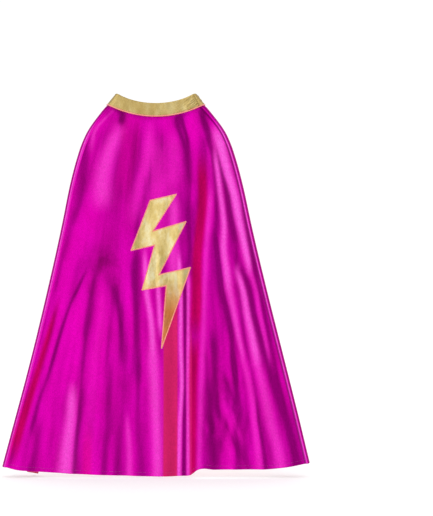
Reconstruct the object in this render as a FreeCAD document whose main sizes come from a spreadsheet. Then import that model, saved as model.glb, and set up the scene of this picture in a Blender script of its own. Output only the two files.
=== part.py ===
"""A child's superhero cape, closed at the neck, as it hangs from its collar.

Frame: origin in the middle of the neck opening at the lowest point of the neck seam, +Z up, -Y behind the
wearer. The back of the cape faces -Y and its two front edges lie behind it, towards +Y. Millimetres.
"""

import FreeCAD, Part
import os
from math import cos, exp, radians, sin, sqrt

import Sketcher
from FreeCAD import Placement, Rotation, Vector

doc = FreeCAD.newDocument("cape")

# ---------------------------------------------------------------- driving dimensions
sheet = doc.addObject("Spreadsheet::Sheet", "Sizes")
DIMENSIONS = [
    ("seam_radius", 191.0),      # radius of the neck seam's arc, with the collar laid flat
    ("collar_height", 23.5),     # width of the collar band
    ("collar_angle", 24.3),      # half angle of the flat part of the collar's back, degrees
    ("loop_half_depth", 18.0),   # from the middle of the neck opening to either side of the collar
    ("turn_reach", 9.5),         # how far the side folds stand out past the flat cloth
    ("band_cloth", 0.8),         # thickness of the collar's gold cloth
    ("band_core", 0.6),          # thickness of the collar's stiffener
    ("ply_gap", 0.1),            # air between two layers that are sewn together
    ("thread_gap", 0.25),        # air between a row of stitches and the curved cloth under it
    ("shell_cloth", 0.8),        # thickness of the cape's outer cloth
    ("lining_cloth", 0.6),       # thickness of the lining
    ("lining_gap", 0.9),         # air between shell and lining
    ("hem_drop", 663.0),         # from the neck seam to the lowest point of the hem
    ("hem_side_drop", 641.0),    # from the neck seam to the hem's two corners
    ("hem_low_left", 20.0),      # from the middle to the hem's lowest point, left of it
    ("left_front_droop", 6.0),   # how far the left front's edge hangs below the hem's line
    ("right_front_lift", 3.0),   # how far the right front's edge hangs above it
    ("width_below", 150.0),      # half width 100 mm below the neck seam
    ("flare", 0.2437),           # half width gained for each mm further down
    ("shoulder_cut", 25.0),      # half width taken off by the shoulder's curve at the neck
    ("shoulder_fade", 38.0),     # length over which the shoulder's curve fades
    ("front_width", 53.0),       # flat width of the front edge that is turned under
    ("piping_radius", 1.1),      # radius of the piped cord in the neck seam
    ("tape_length", 38.0),       # hook and loop tape
    ("tape_margin", 3.0),        # from the tape to the edges of the band
    ("tape_thick", 1.0),
    ("tab_reach", 45.0),         # how far the closing tab passes the front ends of the band
    ("tab_sewn", 15.0),          # how far it is sewn on to the left front
    ("left_end_gap", 3.2),       # from the middle to the left front's end of the band
    ("right_end_gap", 2.1),      # from the middle to the right front's end of the band
    ("tab_start_gap", 0.7),      # from the middle to the tab, left of it
    ("lap_gap", 0.3),            # air between pieces that come apart when the cape is undone
    ("thread", 0.45),            # thickness of the sewing thread
    ("thread_row", 0.9),         # width of a row of stitches
    ("stitch_inset", 2.2),       # from a sewn edge of the band to its row of stitches
    ("hem_inset", 6.0),          # from the hem and the front edges to their row of stitches
    ("bolt_cloth", 0.6),
    ("bolt_web", 0.25),          # thickness of the web that bonds the lightning bolt on
    ("bolt_border", 2.2),        # width of the satin stitch round the lightning bolt
    ("label_width", 22.0),
    ("label_drop", 34.0),
    ("label_cloth", 0.4),
    ("label_gap", 0.4),          # air between the label and the lining
]
for row, (alias, value) in enumerate(DIMENSIONS, 1):
    sheet.set(f"A{row}", alias)
    sheet.set(f"B{row}", str(value))
    sheet.setAlias(f"B{row}", alias)
doc.recompute()


def size(alias):
    """A driving dimension's value."""
    return float(sheet.get(alias))


ARC = size("seam_radius")
DEPTH = size("loop_half_depth")
REACH = size("turn_reach")
CORNER = radians(size("collar_angle"))
BAND = 2 * size("band_cloth") + size("band_core") + 2 * size("ply_gap")
SUBPARTS = []


def keep(obj, label):
    """Gives a finished sub-part its name and puts it on the list of files to write."""
    obj.Label = label
    SUBPARTS.append(obj)
    return obj


# ---------------------------------------------------------------- the cape's cloth
# Each fold is a rounded ridge that runs from the neck to the hem. Across the back, 0 is the left side fold and 1
# the right one; down the back, 0 is the neck and 1 the hem.
RIDGES = [  # across at the neck, across at the hem, height in mm at the hem, half width, where it begins
    (0.13, 0.10, 6.0, 0.036, 0.10),
    (0.19, 0.19, 12.0, 0.042, 0.00),
    (0.28, 0.27, 7.0, 0.034, 0.30),
    (0.36, 0.34, 5.0, 0.038, 0.05),
    (0.43, 0.42, 6.0, 0.036, 0.05),
    (0.53, 0.49, 13.0, 0.029, 0.10),
    (0.64, 0.58, 13.0, 0.029, 0.10),
    (0.79, 0.66, 12.0, 0.029, 0.02),
    (0.84, 0.75, 7.0, 0.038, 0.10),
    (0.89, 0.83, 6.0, 0.038, 0.05),
    (0.93, 0.89, 11.0, 0.042, 0.05),
]
RIDGE_GROWTH = 0.7  # share of the way down over which a fold grows from nothing
RIDGE_AT_NECK = 0.25  # a fold's height at the neck, as a share of its height at the hem
SIDE_FADE = 0.05  # folds fade out over this share of the width at either side


def smooth(t):
    """0 to 1 with no kink, for t from 0 to 1."""
    t = max(0.0, min(1.0, t))
    return t * t * (3 - 2 * t)


def seam_height(x):
    """Height of the neck seam at x."""
    return ARC - sqrt(ARC * ARC - x * x)


def hem_height(x):
    """Height of the hem at x: a shallow curve, lowest just left of the middle."""
    rise = size("hem_drop") - size("hem_side_drop")
    low = -size("hem_low_left")
    corner = half_width(-size("hem_side_drop"))
    reach = corner + low if x < low else corner - low
    return -size("hem_drop") + rise * ((x - low) / reach) ** 2


def half_width(z):
    """Half the cape's width at height z."""
    curve = size("shoulder_cut") * exp((z - 11.0) / size("shoulder_fade"))
    return size("width_below") + size("flare") * (-z - 100.0) - curve


def flat_half(v):
    """Half the width of the flat part of the back, v from 0 at the neck to 1 at the hem."""
    top = ARC * sin(CORNER)
    z = seam_height(top) * (1 - v) - size("hem_side_drop") * v
    below = half_width(z) - REACH
    mismatch = top - (half_width(seam_height(top)) - REACH)
    return below + mismatch * (1 - smooth(8 * v))


def ridge_height(u, v):
    """How far the back stands out at u across and v down."""
    total = 0.0
    for neck, hem, high, wide, begin in RIDGES:
        grown = smooth((v - begin) / RIDGE_GROWTH) * (RIDGE_AT_NECK + (1 - RIDGE_AT_NECK) * v)
        centre = neck + (hem - neck) * v
        total += high * grown * exp(-(((u - centre) / wide) ** 2))
    return total * smooth(u / SIDE_FADE) * smooth((1 - u) / SIDE_FADE)


def flat_place(s, v):
    """Place in the plane of the cape, s from -1 at the left side fold to 1 at the right one."""
    x = s * flat_half(v)
    top = seam_height(s * flat_half(0.0))
    return x, top + (hem_height(s * flat_half(1.0)) - top) * v


def back_point(s, v):
    """A point on the outside of the back."""
    x, z = flat_place(s, v)
    return Vector(x, -DEPTH - ridge_height((s + 1) / 2, v), z)


def turn_point(side, angle, v):
    """A point on the outside of a side fold, angle from -90 degrees at the back to 90 at the front."""
    x, z = flat_place(side, v)
    tilt = CORNER * (1 - v) ** 3
    out = REACH * cos(angle)
    return Vector(x + side * out * cos(tilt), DEPTH * sin(angle), z + out * sin(tilt))


def front_point(side, share, v):
    """A point on the outside of a turned-under front, share from 0 at the side fold to 1 at its edge."""
    s = side * (1 - share * size("front_width") / flat_half(v))
    x, z = flat_place(s, v)
    droop = size("left_front_droop") if side < 0 else -size("right_front_lift")
    return Vector(x, DEPTH, z - droop * share * v * v)


def outward(point, a, b, step, sign):
    """Unit normal of the surface point(a, b), pointing out of the cape."""
    low, high = max(0.0, b - NORMAL_STEP), min(1.0, b + NORMAL_STEP)
    across = point(a + step, b) - point(a - step, b)
    down = point(a, high) - point(a, low)
    normal = across.cross(down)
    normal.normalize()
    return normal * sign


def offset_surface(point, spans, counts, off, step, sign):
    """A smooth surface through a grid of points that lie off mm outside the surface point(a, b)."""
    (a0, a1), (b0, b1) = spans
    rows = []
    for j in range(counts[1]):
        b = b0 + (b1 - b0) * j / (counts[1] - 1)
        row = []
        for i in range(counts[0]):
            a = a0 + (a1 - a0) * i / (counts[0] - 1)
            row.append(point(a, b) + outward(point, a, b, step, sign) * off)
        rows.append(row)
    surface = Part.BSplineSurface()
    surface.interpolate(rows)
    return surface


def ply(point, spans, counts, inner, outer, step, sign):
    """A closed solid between the surfaces that lie inner and outer mm outside the surface point(a, b)."""
    low, high = [offset_surface(point, spans, counts, off, step, sign) for off in (inner, outer)]
    faces = [low.toShape(), high.toShape()]
    u0, u1, v0, v1 = low.bounds()
    for end in (u0, u1):
        faces.append(Part.makeRuledSurface(low.uIso(end).toShape(), high.uIso(end).toShape()))
    for end in (v0, v1):
        faces.append(Part.makeRuledSurface(low.vIso(end).toShape(), high.vIso(end).toShape()))
    shell = Part.Shell(Part.makeShell(faces).Faces)
    shell.sewShape()
    solid = Part.Solid(shell)
    if solid.Volume < 0:
        solid.reverse()
    return solid


def cloth(label, point, spans, counts, inner, outer, step, sign):
    """A named sub-part cut from the cape's cloth."""
    feature = doc.addObject("Part::Feature", label)
    feature.Shape = ply(point, spans, counts, inner, outer, step, sign)
    return keep(feature, label)


def sides():
    """The two sides: name, and -1 for the left and 1 for the right, seen from behind."""
    return [("left", -1), ("right", 1)]


BACK_GRID = (73, 13)  # points across and down in each surface
FOLD_GRID = (11, 13)
FRONT_GRID = (5, 13)
COLLAR_FOLD_GRID = (13, 4)
HEM_ROWS = 4
NORMAL_STEP = 0.002  # how far either side of a point its normal is measured
TURN_STEP = 0.01
BACK_SPAN = (-0.998, 0.998)  # stops just short of the side folds
TURN_SPAN = (radians(-88), radians(88))
COLLAR_TURN_SPAN = (radians(-89), radians(89))
SEAM_TOP = 0.0008  # the cloth starts this share below the neck seam's line, just clear of the collar
LINING = size("shell_cloth") + size("lining_gap")  # from the shell's outside to the lining's


def build_ply(name, inner, outer, short, narrow):
    """One ply of the cape: its back, two side folds and two fronts. short and narrow are shares cut off it."""
    down = (SEAM_TOP, 1.0 - short)
    cloth(f"{name}_back", back_point, (BACK_SPAN, down), BACK_GRID, inner, outer, NORMAL_STEP, -1)
    for place, side in sides():
        cloth(
            f"{name}_fold_{place}", lambda a, b, k=side: turn_point(k, a, b), (TURN_SPAN, down),
            FOLD_GRID, inner, outer, TURN_STEP, -side,
        )
        cloth(
            f"{name}_front_{place}", lambda a, b, k=side: front_point(k, a, b), ((0.02, 1.0 - narrow), down),
            FRONT_GRID, inner, outer, NORMAL_STEP, -side,
        )


def build_edge_stitching():
    """Rows of thread along the hem and down the two front edges."""
    low, high = size("thread_gap"), size("thread_gap") + size("thread")
    inset, wide = size("hem_inset"), size("thread_row")
    hem_row = (1 - (inset + wide) / size("hem_drop"), 1 - inset / size("hem_drop"))
    edge_row = (1 - (inset + wide) / size("front_width"), 1 - inset / size("front_width"))
    across = (BACK_GRID[0], HEM_ROWS)
    cloth("hem_stitching_back", back_point, (BACK_SPAN, hem_row), across, low, high, NORMAL_STEP, -1)
    for place, side in sides():
        cloth(
            f"hem_stitching_{place}", lambda a, b, k=side: front_point(k, a, b),
            ((0.04, edge_row[0] - 0.02), hem_row), (FRONT_GRID[0], HEM_ROWS), low, high, NORMAL_STEP, -side,
        )
        cloth(
            f"front_edge_stitching_{place}", lambda a, b, k=side: front_point(k, a, b),
            (edge_row, (0.02, hem_row[1])), FRONT_GRID, low, high, NORMAL_STEP, -side,
        )


# ---------------------------------------------------------------- the collar
def origin_feature(body, role):
    """One of a body's own origin planes or axes."""
    return next(f for f in body.Origin.OriginFeatures if f.Role == role)


def arc_band(label, near, far, in_front, in_back, start, end, file_it=True):
    """A flat band that follows the neck seam: a rectangle turned about the seam's centre.

    near and far are its two radii, in_front and in_back its faces' places along Y, and start and end its
    angles in degrees, positive to the right; each is an expression on the sheet.
    """
    body = doc.addObject("PartDesign::Body", label)
    sketch = body.newObject("Sketcher::SketchObject", label + "_section")
    sketch.AttachmentSupport = (origin_feature(body, "YZ_Plane"), [""])
    sketch.MapMode = "FlatFace"
    corners = [Vector(0, -2), Vector(1, -2), Vector(1, -1), Vector(0, -1)]
    for i in range(4):
        sketch.addGeometry(Part.LineSegment(corners[i], corners[(i + 1) % 4]), False)
    for i in range(4):
        sketch.addConstraint(Sketcher.Constraint("Coincident", i, 2, (i + 1) % 4, 1))
    for i, kind in enumerate(("Horizontal", "Vertical", "Horizontal", "Vertical")):
        sketch.addConstraint(Sketcher.Constraint(kind, i))
    places = [
        ("DistanceX", 0, 1, "back_face", in_back, 0.0),
        ("DistanceX", 1, 1, "front_face", in_front, 1.0),
        ("DistanceY", 0, 1, "outer_edge", f"-({far})", -2.0),
        ("DistanceY", 2, 1, "inner_edge", f"-({near})", -1.0),
    ]
    for kind, line, end_point, name, expression, value in places:
        index = sketch.addConstraint(Sketcher.Constraint(kind, -1, 1, line, end_point, value))
        sketch.renameConstraint(index, name)
        sketch.setExpression(f"Constraints.{name}", expression)
    turn = body.newObject("PartDesign::Revolution", label + "_turn")
    turn.Profile = sketch
    turn.ReferenceAxis = (origin_feature(body, "Y_Axis"), [""])
    turn.setExpression("Angle", f"({end}) - ({start})")
    body.Tip = turn
    body.Placement = Placement(Vector(0, 0, ARC), Rotation(Vector(0, 1, 0), -sheet.evalExpression(end)))
    body.setExpression("Placement.Base.z", "Sizes.seam_radius")
    if file_it:
        keep(body, label)
    return body


NECK = "Sizes.seam_radius"
TOP = "Sizes.seam_radius - Sizes.collar_height"
HALF = "Sizes.loop_half_depth"
ANGLE = "Sizes.collar_angle"
CLOTH = "Sizes.band_cloth"
CORE = "Sizes.band_core"
GAP = "Sizes.ply_gap"
LAP = "Sizes.lap_gap"
PER_MM = "180 / (pi * Sizes.seam_radius)"  # degrees along the neck seam for each mm
LEFT_END = f"(-Sizes.left_end_gap * {PER_MM})"
RIGHT_END = f"(Sizes.right_end_gap * {PER_MM})"
TAB_SEWN_FROM = f"(-(Sizes.left_end_gap + Sizes.tab_sewn) * {PER_MM})"
TAB_START = f"(-Sizes.tab_start_gap * {PER_MM})"
TAB_TIP = f"(Sizes.tab_reach * {PER_MM})"
TAPE_FROM = f"((Sizes.tab_reach - Sizes.tape_length - Sizes.tape_margin) * {PER_MM})"
TAPE_TO = f"((Sizes.tab_reach - Sizes.tape_margin) * {PER_MM})"
LOOP_FACE = f"({HALF} + {GAP} + Sizes.tape_thick)"
HOOK_FACE = f"({LOOP_FACE} + {LAP} + Sizes.tape_thick)"
TAB_BACK = f"({HOOK_FACE} + {GAP})"
TAB_MIDDLE = f"({TAB_BACK} + {CLOTH})"
TAB_FRONT = f"({TAB_MIDDLE} + {GAP} + {CLOTH})"


def band_plies(name, start, end, sign):
    """The collar's three plies over one stretch: gold outside, stiffener, gold facing inside."""
    plies = [
        ("outer", "0", CLOTH, "0"),
        ("stiffener", f"{CLOTH} + {GAP}", CORE, CLOTH),
        ("facing", f"{CLOTH} + {CORE} + 2 * {GAP}", CLOTH, "0"),
    ]
    for ply_name, depth, thick, inset in plies:
        faces = [f"{sign} * ({HALF} - ({depth}))", f"{sign} * ({HALF} - ({depth}) - ({thick}))"]
        front, back = faces if sign > 0 else faces[::-1]
        arc_band(f"collar_{ply_name}_{name}", f"{TOP} + {inset}", f"{NECK} - {inset}", front, back, start, end)


def collar_turn(side, angle, t):
    """A point on the outside of the collar's side fold, t from 0 at the seam to 1 at the top edge."""
    radius = ARC - size("collar_height") * t
    out = (REACH - 3.0 * t) * cos(angle)
    x = radius * sin(CORNER) + out * cos(CORNER)
    z = ARC - radius * cos(CORNER) + out * sin(CORNER)
    return Vector(side * x, DEPTH * sin(angle), z)


def build_collar():
    """The band round the neck, its side folds, its piping and its rows of stitches."""
    band_plies("back", f"-{ANGLE}", ANGLE, -1)
    band_plies("left", f"-{ANGLE} + 0.15", LEFT_END, 1)
    band_plies("right", RIGHT_END, f"{ANGLE} - 0.15", 1)
    for name, side in sides():
        cloth(
            f"collar_fold_{name}", lambda a, b, k=side: collar_turn(k, a, b), (COLLAR_TURN_SPAN, (0.0, 1.0)),
            COLLAR_FOLD_GRID, -BAND, 0.0, TURN_STEP, side,
        )


def piping(label, start, end, sign):
    """A piped cord along the neck seam, outside the collar's lower edge."""
    cord = doc.addObject("Part::Torus", label)
    cord.setExpression("Radius1", "Sizes.seam_radius")
    cord.setExpression("Radius2", "Sizes.piping_radius")
    cord.setExpression("Angle3", f"({end}) - ({start})")
    lay_down = Rotation(Vector(1, 0, 0), 90)
    turn = Rotation(Vector(0, 1, 0), 90 - sheet.evalExpression(start)).multiply(lay_down)
    away = DEPTH + size("piping_radius") + size("ply_gap")
    cord.Placement = Placement(Vector(0, sign * away, ARC), turn)
    return keep(cord, label)


def stitch_rows(label, start, end, sign, face):
    """Two rows of thread on a stretch of the band, one along each long edge, as one sub-part."""
    low, high = f"({face} + {GAP})", f"({face} + {GAP} + Sizes.thread)"
    front, back = (high, low) if sign > 0 else (f"-{low}", f"-{high}")
    half = "Sizes.thread_row / 2"
    rows = []
    for place, radius in (("top", f"{TOP} + Sizes.stitch_inset"), ("bottom", f"{NECK} - Sizes.stitch_inset")):
        row = arc_band(f"{label}_{place}", f"{radius} - {half}", f"{radius} + {half}", front, back,
                       start, end, file_it=False)
        rows.append(row)
    group = doc.addObject("Part::Compound", label)
    group.Links = rows
    return keep(group, label)


def build_trim():
    """Piping and stitches on the collar's three stretches."""
    cape_front = f"({ANGLE} - Sizes.front_width * {PER_MM})"
    piping("piping_back", f"-{ANGLE}", ANGLE, -1)
    piping("piping_left", f"-{ANGLE} + 0.3", f"-{cape_front}", 1)
    piping("piping_right", cape_front, f"{ANGLE} - 0.3", 1)
    stitch_rows("collar_stitching_back", f"-{ANGLE} + 0.3", f"{ANGLE} - 0.3", -1, HALF)
    stitch_rows("collar_stitching_left", f"-{ANGLE} + 0.5", f"{TAB_SEWN_FROM} - 0.3", 1, HALF)
    stitch_rows("collar_stitching_right", f"{TAB_TIP} + 0.3", f"{ANGLE} - 0.5", 1, HALF)


def build_closure():
    """The closing tab, sewn to the left front and lapped over the right one, with hook and loop tape."""
    inner, outer = f"{TOP} + 0.4", f"{NECK} - 0.4"
    near, far = f"{TOP} + Sizes.tape_margin", f"{NECK} - Sizes.tape_margin"
    arc_band("loop_tape", near, far, LOOP_FACE, f"{HALF} + {GAP}", TAPE_FROM, TAPE_TO)
    arc_band("hook_tape", near, far, HOOK_FACE, f"{LOOP_FACE} + {LAP}", TAPE_FROM, TAPE_TO)
    arc_band("tab_facing", inner, outer, TAB_MIDDLE, TAB_BACK, TAB_START, TAB_TIP)
    arc_band("tab_outer", inner, outer, TAB_FRONT, f"{TAB_MIDDLE} + {GAP}", TAB_START, TAB_TIP)
    arc_band("tab_root", inner, outer, TAB_FRONT, f"{HALF} + {GAP}", TAB_SEWN_FROM, LEFT_END)
    stitch_rows("tab_stitching", f"{TAB_START} + 0.3", f"{TAB_TIP} - 0.5", 1, TAB_FRONT)
    stitch_rows("tab_root_stitching", f"{TAB_SEWN_FROM} + 0.3", f"{LEFT_END} - 0.3", 1, TAB_FRONT)


# ---------------------------------------------------------------- the lightning bolt
BOLT = [
    (38, -144), (-10, -155), (-45, -247), (-1.5, -237), (-25, -320), (20, -311.5),
    (11, -427), (64, -278.5), (6, -292), (56, -194), (-5.5, -212),
]


BOLT_SPANS = ((-0.42, 0.55), (0.2, 0.68))  # the patch of the back that the bolt lies in
BOLT_GRID = (41, 11)


def bolt_prism(grow):
    """The bolt's outline, grown by that many mm, drawn out along Y right through the back of the cape."""
    points = [Vector(x, 0, z) for x, z in BOLT]
    outline = Part.makePolygon(points + points[:1]).makeOffset2D(grow, 2)
    return Part.Face(outline).extrude(Vector(0, -4 * DEPTH, 0))


def cut_to(label, low, high, outline):
    """A layer of the back between low and high mm outside it, cut to an outline, as one sub-part."""
    layer = doc.addObject("Part::Feature", label + "_layer")
    layer.Shape = ply(back_point, BOLT_SPANS, BOLT_GRID, low, high, NORMAL_STEP, -1)
    prism = doc.addObject("Part::Feature", label + "_outline")
    prism.Shape = outline
    cut = doc.addObject("Part::Common", label)
    cut.Base = layer
    cut.Tool = prism
    return keep(cut, label)


def build_bolt():
    """The bolt's gold cloth, the web that bonds it on, and the satin stitch round its edge."""
    half = size("bolt_border") / 2
    low = size("ply_gap")
    web_top = low + size("bolt_web")
    face_top = web_top + size("ply_gap") + size("bolt_cloth")
    cut_to("bolt_bond_web", low, web_top, bolt_prism(-half))
    cut_to("bolt_face", web_top + size("ply_gap"), face_top, bolt_prism(-half))
    ring = bolt_prism(half).cut(bolt_prism(size("ply_gap") - half))
    cut_to("bolt_border_stitching", low, face_top + size("thread"), ring)


# ---------------------------------------------------------------- the label
def build_label():
    """A blank care label that hangs from the neck seam inside the back."""
    plies = "Sizes.shell_cloth + Sizes.lining_gap + Sizes.lining_cloth + Sizes.label_gap"
    label = doc.addObject("Part::Box", "neck_label")
    label.setExpression("Length", "Sizes.label_width")
    label.setExpression("Width", "Sizes.label_cloth")
    label.setExpression("Height", "Sizes.label_drop")
    label.setExpression("Placement.Base.x", "-Sizes.label_width / 2")
    label.setExpression("Placement.Base.y", f"-{HALF} + {plies}")
    label.setExpression("Placement.Base.z", "-Sizes.label_drop - Sizes.stitch_inset")
    return keep(label, "neck_label")


build_ply("shell", -size("shell_cloth"), 0.0, 0.0, 0.0)
build_ply("lining", -LINING - size("lining_cloth"), -LINING, 0.008, 0.02)
build_edge_stitching()
build_collar()
build_trim()
build_closure()
build_bolt()
build_label()
doc.recompute()

failed = [o.Name for o in doc.Objects if {"Invalid", "Error"} & set(o.State)]
if failed:
    raise RuntimeError(f"these objects failed: {failed}")
os.makedirs("parts", exist_ok=True)
for obj in SUBPARTS:
    shape = obj.Shape
    if shape.isNull() or not shape.isValid() or not shape.Solids:
        raise RuntimeError(f"{obj.Label} has no valid solid")
    shape.exportStep(os.path.join("parts", obj.Label + ".step"))
    print(f"{obj.Label:28s} {len(shape.Solids)} solid(s) {shape.Volume:10.1f} mm3")
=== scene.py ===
"""A child's costume cape of magenta foil cloth, seen from behind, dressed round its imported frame."""

import math

import bmesh
import bpy
import numpy as np
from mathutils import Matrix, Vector
from mathutils.geometry import delaunay_2d_cdt


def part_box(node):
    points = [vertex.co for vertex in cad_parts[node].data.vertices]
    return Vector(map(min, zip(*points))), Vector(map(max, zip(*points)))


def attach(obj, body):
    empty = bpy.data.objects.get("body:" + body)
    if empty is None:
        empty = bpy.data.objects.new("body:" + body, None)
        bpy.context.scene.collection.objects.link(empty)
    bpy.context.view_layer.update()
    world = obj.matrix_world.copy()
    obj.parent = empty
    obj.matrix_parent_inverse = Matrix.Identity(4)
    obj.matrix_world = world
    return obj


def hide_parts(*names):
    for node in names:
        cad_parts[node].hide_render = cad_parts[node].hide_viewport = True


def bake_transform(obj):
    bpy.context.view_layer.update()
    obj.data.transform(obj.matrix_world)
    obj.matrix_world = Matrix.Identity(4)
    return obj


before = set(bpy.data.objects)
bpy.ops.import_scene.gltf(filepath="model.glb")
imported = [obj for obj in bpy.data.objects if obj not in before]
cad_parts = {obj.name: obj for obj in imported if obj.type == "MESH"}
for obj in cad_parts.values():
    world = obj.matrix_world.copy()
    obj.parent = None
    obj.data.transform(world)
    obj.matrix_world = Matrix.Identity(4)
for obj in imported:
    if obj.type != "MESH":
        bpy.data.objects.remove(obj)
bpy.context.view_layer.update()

MM = 0.001

# ---------------------------------------------------------------- the cape's outline, from the frame
COLLAR_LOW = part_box("collar_outer_back")[0]
FOLD_LOW, FOLD_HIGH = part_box("shell_fold_right")
DEPTH = -COLLAR_LOW.y  # from the middle of the neck opening to the outside of the back
HEM_HALF = FOLD_HIGH.x  # half the width at the hem's corners
HEM_CORNER = FOLD_LOW.z
REACH = 9.5 * MM  # how far the side folds stand out past the flat cloth
ARC = 191 * MM  # radius of the neck seam
BAND = 23.5 * MM  # height of the collar
CORNER = math.radians(24.3)  # half angle of the collar's flat back
FLARE = 0.2437  # how much each side widens for each unit down
SHOULDER_CUT = 25 * MM  # how far the shoulders are inside the straight sides, and how fast that fades
SHOULDER_FADE = 38 * MM
SHOULDER_TOP = 11 * MM
FRONT_WIDTH = 53 * MM  # of each turned-under front
FRONT_DROP = {-1: 4.5 * MM, 1: -2 * MM}  # how much lower each front's hem hangs at its edge
HEM_LOW = HEM_CORNER - 22 * MM
CAPE_LONG = 665 * MM  # from the neck to the hem, down the back
SPLIT = 0.30  # where the two halves of each layer meet, across the back from -1 to 1

SHELL = 0.5 * MM  # thickness of the outer cloth
LINING_GAP = 1.0 * MM  # from the shell's middle to the lining's
LINING = 0.4 * MM
TURN_RADIUS = 1.0 * MM  # of the turned hem
TURN_STEPS = 6
BACK_COLUMNS = 300
TURN_COLUMNS = 16
FRONT_COLUMNS = 22
ROWS = 190


def smooth(t):
    """0 to 1 with no kink, for t from 0 to 1."""
    t = np.clip(t, 0, 1)
    return t * t * (3 - 2 * t)


def bell(t):
    """1 at 0, fading to nothing past 2 either way."""
    return np.exp(-t * t)


def curve(points, at):
    """A smooth curve through (value, place) points, as the value at each place, held level past its ends."""
    value, place = np.array(sorted(points, key=lambda p: p[1]), float).T
    slope = np.gradient(value, place)
    k = np.clip(np.searchsorted(place, at) - 1, 0, len(place) - 2)
    step = place[k + 1] - place[k]
    t = np.clip((at - place[k]) / step, 0, 1)
    rise = 3 * t**2 - 2 * t**3
    ease = value[k] * (1 - rise) + value[k + 1] * rise
    return ease + step * ((t**3 - 2 * t**2 + t) * slope[k] + (t**3 - t**2) * slope[k + 1])


def half_width(z):
    """Half the cape's width at height z."""
    below = HEM_HALF - FLARE * (z - HEM_CORNER)
    return below - SHOULDER_CUT * np.exp((z - SHOULDER_TOP) / SHOULDER_FADE)


SIDE_SHIFT = {  # mm that each side of this cape stands out past its pattern: (shift, height)
    -1: [(4.5, 18), (4.5, -50), (3.5, -130), (0.5, -190), (-2.5, -330), (-2, -480), (0, -560), (2, -640)],
    1: [(5, 18), (5.5, -50), (5, -130), (2.5, -200), (1.5, -330), (2.5, -450), (3, -560), (2.5, -640)],
}


def side_shift(s, z):
    """How far this cape's cloth is pulled sideways of its pattern, s from -1 to 1 across the back."""
    left = curve(SIDE_SHIFT[-1], z / MM) * np.clip(-s, 0, 1) * np.abs(s)
    right = curve(SIDE_SHIFT[1], z / MM) * np.clip(s, 0, 1) * np.abs(s)
    return (right - left) * MM


def seam_height(x):
    """Height of the neck seam at x: an arc, held where it is past its ends."""
    within = np.clip(x, -0.99 * ARC, 0.99 * ARC)
    return ARC - np.sqrt(ARC**2 - within**2)


HEM = [  # mm, from the left corner to the right one: it steps up right of the deep pleat
    (-641, -285), (-649, -258), (-653, -218), (-657, -151), (-660.5, -53), (-662, 7), (-660.5, 45),
    (-658, 66), (-651, 75), (-649.5, 110), (-649, 160), (-648, 215), (-643, 250), (-636, 285),
]


def hem_height(x):
    """Height of the hem at x."""
    return curve(HEM, x / MM) * MM


def flat_half(v):
    """Half the width of the flat part of the back, v from 0 at the neck to 1 at the hem."""
    top = ARC * math.sin(CORNER)
    height = seam_height(top)
    z = height * (1 - v) + HEM_CORNER * v
    mismatch = top - (half_width(height) - REACH)
    return half_width(z) - REACH + mismatch * (1 - smooth(8 * v))


def flat_place(s, v):
    """Place in the plane of the cape: s from -1 at the left side fold to 1 at the right one."""
    top = seam_height(s * flat_half(0.0))
    z = top + (hem_height(s * flat_half(1.0)) - top) * v
    return s * flat_half(v) + side_shift(s, z) * smooth(v * 12), z


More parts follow.
